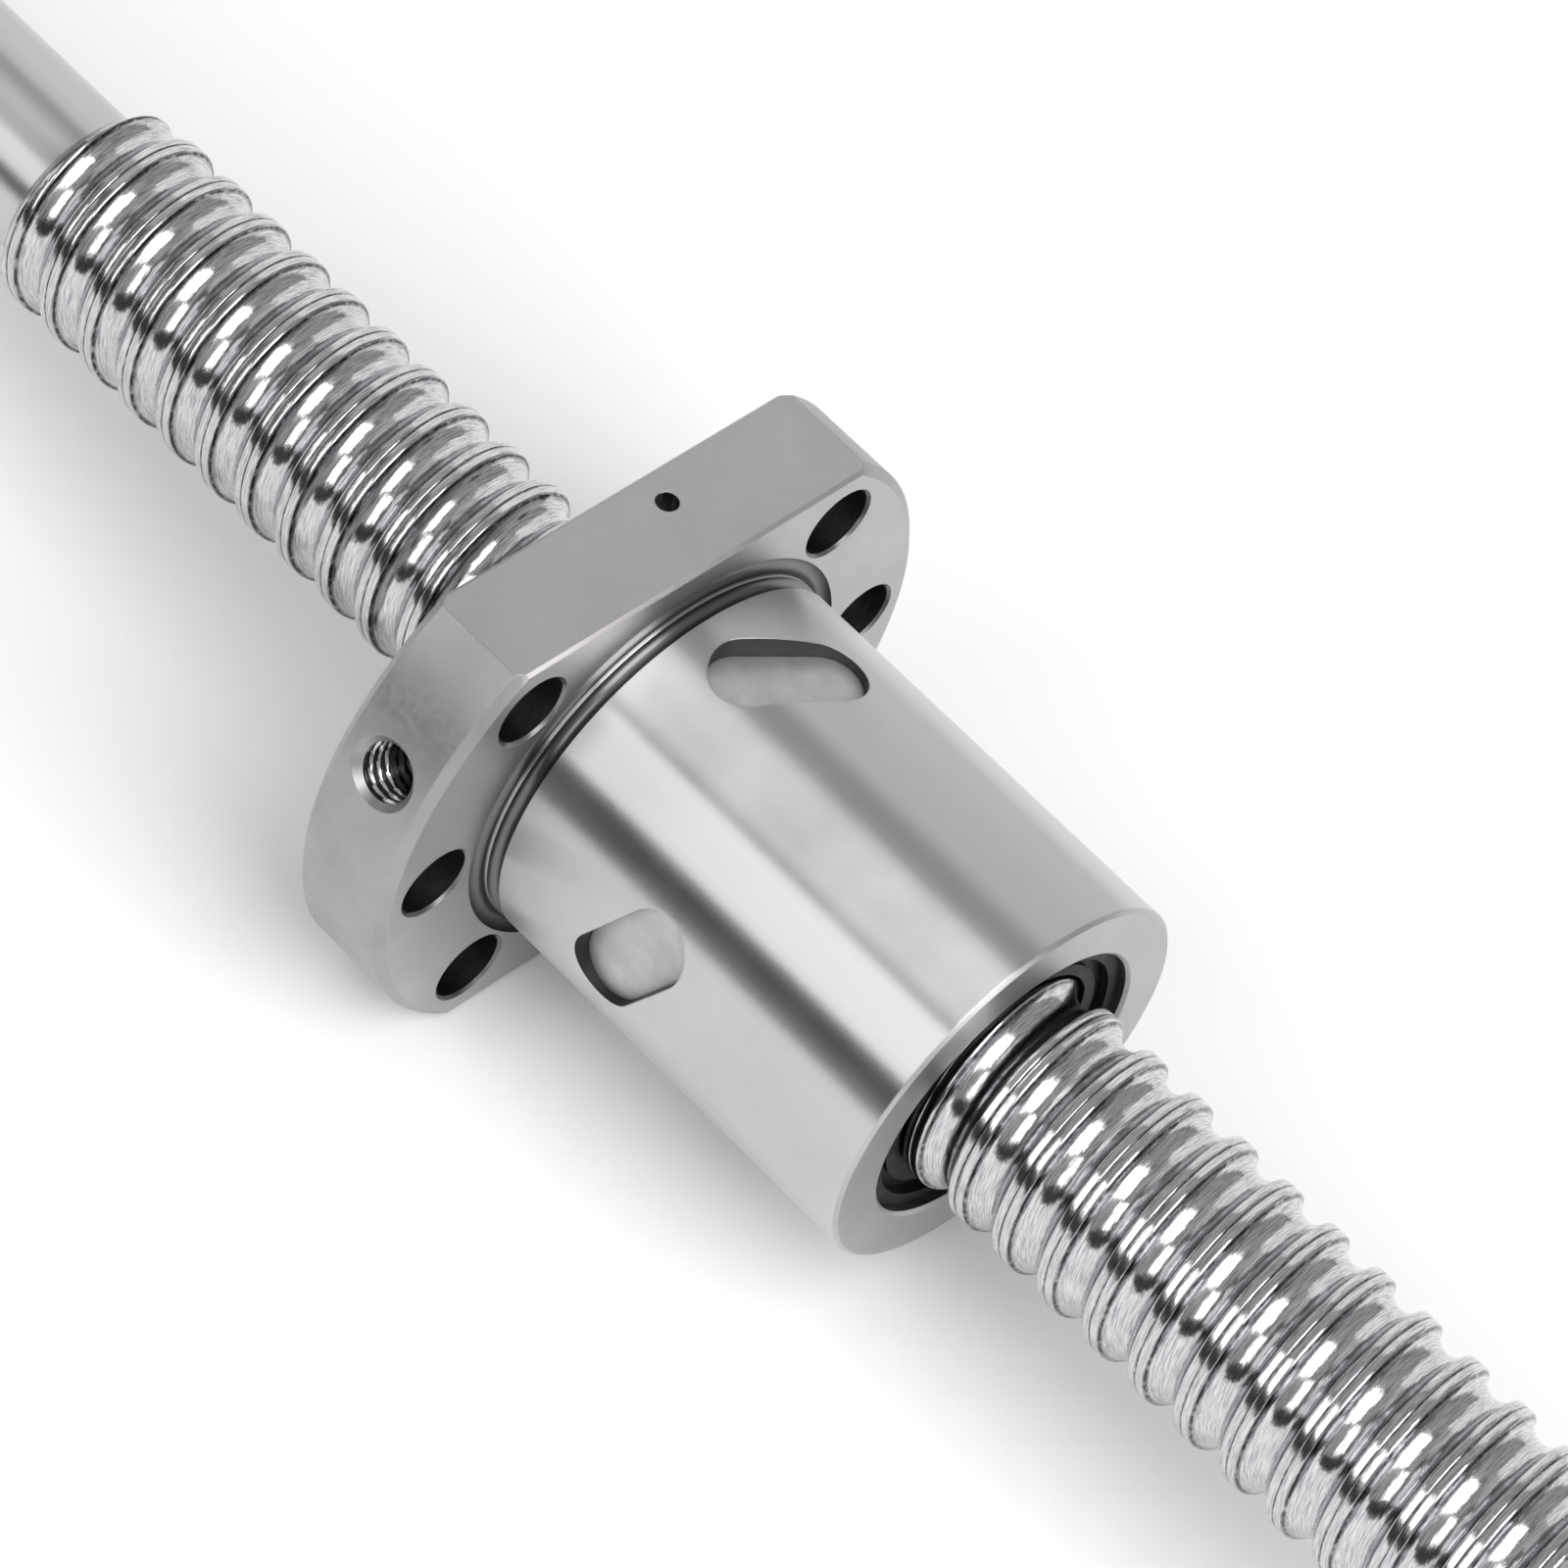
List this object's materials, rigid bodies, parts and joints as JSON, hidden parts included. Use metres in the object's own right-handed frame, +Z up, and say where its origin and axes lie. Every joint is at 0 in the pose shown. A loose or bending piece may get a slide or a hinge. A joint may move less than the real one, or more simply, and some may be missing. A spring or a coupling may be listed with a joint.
{
  "type": "ball screw nut",
  "caption": "Flanged ball screw nut with internal deflectors on its rolled screw shaft, turning a screw's rotation into straight travel.",
  "frame": {"origin": "centre of the flange's mounting face, on the screw's axis", "axes": "+X along the screw from the flange towards the barrel's end, +Z up and square to the flange's two flats, +Y along the flats"},
  "size_m": [0.249, 0.058, 0.044],
  "materials": {
    "nut_steel": "ground and satin",
    "screw_steel": "rolled and polished",
    "ball_steel": "polished",
    "deflector_metal": "matte, sintered",
    "wiper_plastic": "matte black"
  },
  "bodies": {
    "nut": {"nut_body": "nut_steel", "deflector_1": "deflector_metal", "deflector_2": "deflector_metal", "deflector_3": "deflector_metal", "deflector_4": "deflector_metal", "ball_circuit_1": "ball_steel", "ball_circuit_2": "ball_steel", "ball_circuit_3": "ball_steel", "ball_circuit_4": "ball_steel", "front_wiper": "wiper_plastic"},
    "seal": {"rear_seal_ring": "wiper_plastic"},
    "screw": {"screw_shaft": "screw_steel"}
  },
  "joints": [
    {"name": "screw_turn", "type": "hinge", "parent": "nut", "child": "seal", "pos_m": [0, 0, 0], "axis": [1, 0, 0], "range_deg": [-3960, 3960]},
    {"name": "screw_feed", "type": "slide", "parent": "seal", "child": "screw", "axis": [1, 0, 0], "range_m": [-0.055, 0.055]}
  ],
  "couplings": [
    {"joint": "screw_turn", "follows": "screw_feed", "rad_per_m": 1256.6}
  ]
}
